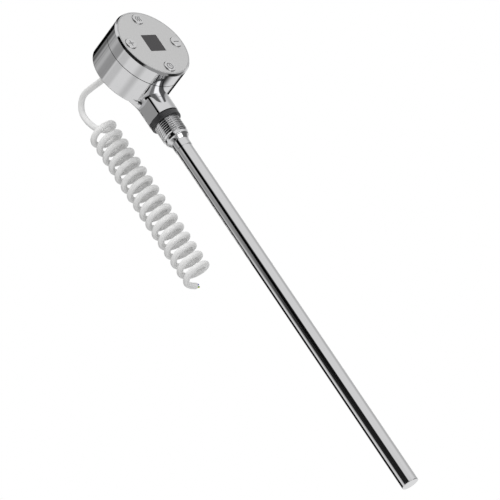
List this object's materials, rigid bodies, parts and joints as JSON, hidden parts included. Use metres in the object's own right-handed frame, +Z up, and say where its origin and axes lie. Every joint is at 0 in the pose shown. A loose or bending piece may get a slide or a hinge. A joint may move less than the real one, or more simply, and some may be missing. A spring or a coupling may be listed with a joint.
{
  "type": "screw-in immersion heating element",
  "caption": "Chrome-plated screw-in immersion heating element with a round thermostat head, push buttons, a small display and a curly mains lead.",
  "frame": {"origin": "centre of the gasket's sealing face, on the heating rod's axis", "axes": "+Z up along the rod towards the head, so the rod hangs down along -Z; the head's face and buttons look along -Y; +X is to the right seen from the front"},
  "size_m": [0.0658, 0.1038, 0.4287],
  "materials": {
    "chrome": "polished",
    "satin_plate": "satin",
    "button_caps": "satin",
    "display_glass": "glossy dark",
    "black_rubber": "matte",
    "cord_sheath": "soft satin",
    "core_brown": "satin",
    "core_blue": "satin",
    "core_green_yellow": "satin",
    "copper": "bright",
    "grey_plastic": "satin",
    "brass": "machined",
    "board": "satin",
    "black_plastic": "satin",
    "relay_blue": "glossy",
    "terminal_green": "satin",
    "white_plastic": "satin",
    "bright_steel": "plated",
    "heating_wire": "drawn wire",
    "ceramic": "unglazed",
    "potting": "cast resin",
    "silicone_wire": "soft"
  },
  "bodies": {
    "heater": {"rear_housing": "chrome", "front_ring": "chrome", "threaded_nipple": "chrome", "element_sleeve": "chrome", "sheath_tube": "chrome", "end_cap": "chrome", "face_plate": "satin_plate", "display_window": "display_glass", "sealing_gasket": "black_rubber", "seam_gasket": "black_rubber", "cord_lead": "cord_sheath", "cord_coil": "cord_sheath", "inner_cord": "cord_sheath", "core_live": "core_brown", "core_neutral": "core_blue", "core_earth": "core_green_yellow", "core_strands": "copper", "cord_gland": "grey_plastic", "gland_nut": "grey_plastic", "threaded_bush": "brass", "control_board": "board", "power_board": "board", "display_module": "black_plastic", "tact_switches": "black_plastic", "supply_module": "black_plastic", "fuse_holder": "black_plastic", "capacitor": "black_plastic", "relay": "relay_blue", "terminal_block": "terminal_green", "board_connectors": "white_plastic", "ribbon_cable": "white_plastic", "head_screws": "bright_steel", "power_pins": "bright_steel", "sensor_capsule": "bright_steel", "heating_winding": "heating_wire", "ceramic_core": "ceramic", "insulation_powder": "ceramic", "cold_zone_plug": "ceramic", "potting_plug": "potting", "element_leads": "silicone_wire"},
    "key_heat": {"button_heat": "button_caps"},
    "key_plus": {"button_plus": "button_caps"},
    "key_minus": {"button_minus": "button_caps"},
    "key_timer": {"button_timer": "button_caps"}
  },
  "joints": [
    {"name": "press_heat", "type": "slide", "parent": "heater", "child": "key_heat", "axis": [0, 1, 0], "range_m": [0, 0.0005], "stiffness_N_per_m": 100},
    {"name": "press_plus", "type": "slide", "parent": "heater", "child": "key_plus", "axis": [0, 1, 0], "range_m": [0, 0.0005], "stiffness_N_per_m": 100},
    {"name": "press_minus", "type": "slide", "parent": "heater", "child": "key_minus", "axis": [0, 1, 0], "range_m": [0, 0.0005], "stiffness_N_per_m": 100},
    {"name": "press_timer", "type": "slide", "parent": "heater", "child": "key_timer", "axis": [0, 1, 0], "range_m": [0, 0.0005], "stiffness_N_per_m": 100}
  ]
}
